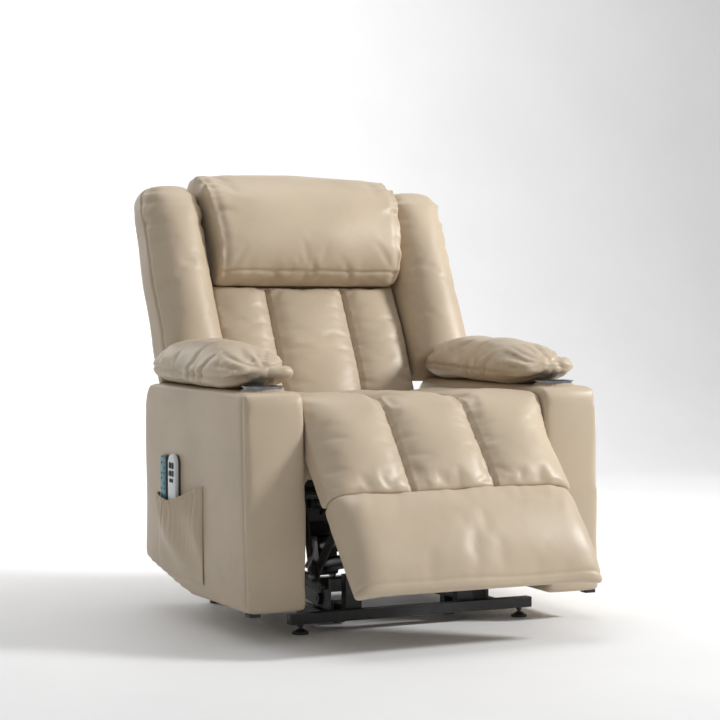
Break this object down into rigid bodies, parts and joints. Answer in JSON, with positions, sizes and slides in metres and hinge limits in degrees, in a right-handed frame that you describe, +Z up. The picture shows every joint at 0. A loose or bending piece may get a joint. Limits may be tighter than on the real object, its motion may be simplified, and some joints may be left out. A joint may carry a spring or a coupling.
{
  "type": "lift recliner chair",
  "caption": "Upholstered power lift recliner: floor base with a lifting linkage, padded seat, reclining winged back and swinging leg rest, arms with cup holders and side pockets.",
  "frame": {"origin": "on the floor under the middle of the chair's overall footprint, as stored half reclined", "axes": "+Z up, the sitter faces -Y, +X to the right of someone facing the chair"},
  "size_m": [0.952, 1.1722, 1.0988],
  "materials": {
    "upholstery": "soft beige faux leather over foam, matt",
    "covered_panel": "beige faux leather stretched over a wooden panel",
    "timber": "plain plywood and softwood",
    "frame_steel": "black powder coat, semi-matt",
    "bright_steel": "bare turned steel",
    "spring_steel": "oiled wire",
    "cup_liner": "pressed stainless steel",
    "black_plastic": "fine-textured black plastic",
    "actuator_plastic": "glass-filled nylon housing",
    "actuator_tube": "black anodised tube",
    "rubber": "black rubber",
    "handset_shell": "pale front, black back",
    "button": "soft-touch black",
    "remote_shell": "black with a coloured keypad"
  },
  "bodies": {
    "base": {"base_front_tube": "frame_steel", "base_rear_tube": "frame_steel", "base_side_rails": "frame_steel", "wheel_posts": "frame_steel", "link_brackets": "frame_steel", "actuator_clevis": "frame_steel"},
    "foot_front_left": {"levelling_foot_front_left": "frame_steel"},
    "foot_front_right": {"levelling_foot_front_right": "frame_steel"},
    "foot_rear_left": {"levelling_foot_rear_left": "frame_steel"},
    "foot_rear_right": {"levelling_foot_rear_right": "frame_steel"},
    "wheel_left": {"transport_wheel_left": "rubber"},
    "wheel_right": {"transport_wheel_right": "rubber"},
    "lift_arms": {"lift_arm_left": "frame_steel", "lift_arm_right": "frame_steel", "torque_tube": "frame_steel"},
    "front_links": {"front_links": "frame_steel"},
    "lift_actuator": {"lift_gearbox": "actuator_plastic", "lift_motor": "frame_steel", "lift_actuator_tube": "actuator_tube"},
    "lift_rod": {"lift_actuator_rod": "bright_steel"},
    "chair": {"seat_side_plates": "frame_steel", "cross_tubes": "frame_steel", "seat_box": "timber", "seat_springs": "spring_steel", "seat_cushion": "upholstery", "control_box": "black_plastic", "arm_decks": "covered_panel", "cup_holders": "cup_liner", "arm_glides": "black_plastic", "arm_outer_panel_left": "covered_panel", "arm_outer_panel_right": "covered_panel", "arm_inner_panel_left": "covered_panel", "arm_inner_panel_right": "covered_panel", "arm_front_panel_left": "covered_panel", "arm_front_panel_right": "covered_panel", "arm_pad_left": "upholstery", "arm_pad_right": "upholstery", "side_pocket_left": "upholstery", "side_pocket_right": "upholstery"},
    "legrest": {"legrest_board": "timber", "legrest_brackets": "frame_steel", "legrest_upper_pad": "upholstery", "legrest_lower_pad": "upholstery"},
    "leg_link_lower": {"leg_links_lower": "frame_steel"},
    "leg_link_upper": {"leg_links_upper": "frame_steel"},
    "leg_actuator": {"leg_actuator_body": "actuator_plastic"},
    "leg_rod": {"leg_actuator_rod": "bright_steel"},
    "back": {"back_frame": "timber", "back_cover": "upholstery", "lumbar_cushion": "upholstery", "head_pillow": "upholstery", "back_wing_left": "upholstery", "back_wing_right": "upholstery"},
    "back_actuator": {"back_actuator_body": "actuator_plastic"},
    "back_rod": {"back_actuator_rod": "bright_steel"},
    "handset": {"handset_body": "handset_shell"},
    "rocker_1": {"handset_rocker_1": "button"},
    "rocker_2": {"handset_rocker_2": "button"},
    "rocker_3": {"handset_rocker_3": "button"},
    "remote": {"massage_remote": "remote_shell"}
  },
  "joints": [
    {"name": "lift", "type": "hinge", "parent": "base", "child": "lift_arms", "pos_m": [0, -0.13882, 0.068], "axis": [1, 0, 0], "range_deg": [0, 55]},
    {"name": "seat_tilt", "type": "hinge", "parent": "lift_arms", "child": "chair", "pos_m": [0, 0.21118, 0.112], "axis": [1, 0, 0], "range_deg": [-31, 1]},
    {"name": "front_link_swing", "type": "hinge", "parent": "base", "child": "front_links", "pos_m": [0, -0.17382, 0.098], "axis": [1, 0, 0], "range_deg": [-1, 64.77]},
    {"name": "lift_motor_tilt", "type": "hinge", "parent": "base", "child": "lift_actuator", "pos_m": [0, 0.29618, 0.078], "axis": [-1, 0, 0], "range_deg": [-1, 6.41]},
    {"name": "lift_rod_slide", "type": "slide", "parent": "lift_actuator", "child": "lift_rod", "axis": [0, -0.9794, 0.2021], "range_m": [-0.001, 0.12668]},
    {"name": "footrest", "type": "hinge", "parent": "chair", "child": "legrest", "pos_m": [0, -0.30382, 0.518], "axis": [-1, 0, 0], "range_deg": [-42, 46]},
    {"name": "leg_link_lower_swing", "type": "hinge", "parent": "chair", "child": "leg_link_lower", "pos_m": [0, -0.14382, 0.31], "axis": [-1, 0, 0], "range_deg": [-52.59, 57.5]},
    {"name": "leg_link_upper_swing", "type": "hinge", "parent": "leg_link_lower", "child": "leg_link_upper", "pos_m": [0, -0.19731, 0.12768], "axis": [-1, 0, 0], "range_deg": [-62.84, 57.46]},
    {"name": "leg_motor_tilt", "type": "hinge", "parent": "chair", "child": "leg_actuator", "pos_m": [-0.06, 0.21118, 0.262], "axis": [-1, 0, 0], "range_deg": [-1.4, 1.36]},
    {"name": "leg_rod_slide", "type": "slide", "parent": "leg_actuator", "child": "leg_rod", "axis": [0, -1, 0.0086], "range_m": [-0.0357, 0.039]},
    {"name": "recline", "type": "hinge", "parent": "chair", "child": "back", "pos_m": [0, 0.29118, 0.4], "axis": [-1, 0, 0], "range_deg": [-10, 38]},
    {"name": "back_motor_tilt", "type": "hinge", "parent": "chair", "child": "back_actuator", "pos_m": [0.06, -0.03882, 0.29], "axis": [1, 0, 0], "range_deg": [-1.22, 1.85]},
    {"name": "back_rod_slide", "type": "slide", "parent": "back_actuator", "child": "back_rod", "axis": [0, 0.9979, 0.0643], "range_m": [-0.05875, 0.0162]},
    {"name": "foot_front_left_turn", "type": "hinge", "parent": "base", "child": "foot_front_left", "pos_m": [-0.286, -0.20482, 0], "axis": [0, 0, 1], "continuous": true},
    {"name": "foot_front_right_turn", "type": "hinge", "parent": "base", "child": "foot_front_right", "pos_m": [0.286, -0.20482, 0], "axis": [0, 0, 1], "continuous": true},
    {"name": "foot_rear_left_turn", "type": "hinge", "parent": "base", "child": "foot_rear_left", "pos_m": [-0.286, 0.31118, 0], "axis": [0, 0, 1], "continuous": true},
    {"name": "foot_rear_right_turn", "type": "hinge", "parent": "base", "child": "foot_rear_right", "pos_m": [0.286, 0.31118, 0], "axis": [0, 0, 1], "continuous": true},
    {"name": "wheel_left_roll", "type": "hinge", "parent": "base", "child": "wheel_left", "pos_m": [-0.146, -0.10882, 0.0235], "axis": [1, 0, 0], "continuous": true},
    {"name": "wheel_right_roll", "type": "hinge", "parent": "base", "child": "wheel_right", "pos_m": [0.146, -0.10882, 0.0235], "axis": [1, 0, 0], "continuous": true},
    {"name": "handset_lift_out", "type": "slide", "parent": "chair", "child": "handset", "axis": [0, 0, 1], "range_m": [0, 0.13]},
    {"name": "remote_lift_out", "type": "slide", "parent": "chair", "child": "remote", "axis": [0, 0, 1], "range_m": [0, 0.13]},
    {"name": "rocker_1_press", "type": "hinge", "parent": "handset", "child": "rocker_1", "pos_m": [-0.4715, 0.13518, 0.364], "axis": [0, 0, 1], "range_deg": [-5, 5], "stiffness_Nm_per_rad": 0.05},
    {"name": "rocker_2_press", "type": "hinge", "parent": "handset", "child": "rocker_2", "pos_m": [-0.4715, 0.13518, 0.345], "axis": [0, 0, 1], "range_deg": [-5, 5], "stiffness_Nm_per_rad": 0.05},
    {"name": "rocker_3_press", "type": "hinge", "parent": "handset", "child": "rocker_3", "pos_m": [-0.4715, 0.13518, 0.328], "axis": [0, 0, 1], "range_deg": [-5, 5], "stiffness_Nm_per_rad": 0.05}
  ],
  "couplings": [
    {"joint": "seat_tilt", "follows": "lift", "ratio": -0.54546},
    {"joint": "front_link_swing", "follows": "lift", "ratio": 1.1595},
    {"joint": "lift_motor_tilt", "follows": "lift", "ratio": 0.098404},
    {"joint": "lift_rod_slide", "follows": "lift", "m_per_rad": 0.13093},
    {"joint": "leg_link_lower_swing", "follows": "footrest", "ratio": 1.2283},
    {"joint": "leg_link_upper_swing", "follows": "footrest", "ratio": -1.3444},
    {"joint": "leg_motor_tilt", "follows": "footrest", "ratio": -0.008636},
    {"joint": "leg_rod_slide", "follows": "footrest", "m_per_rad": 0.047335},
    {"joint": "back_motor_tilt", "follows": "recline", "ratio": 0.022408},
    {"joint": "back_rod_slide", "follows": "recline", "m_per_rad": -0.087079}
  ]
}
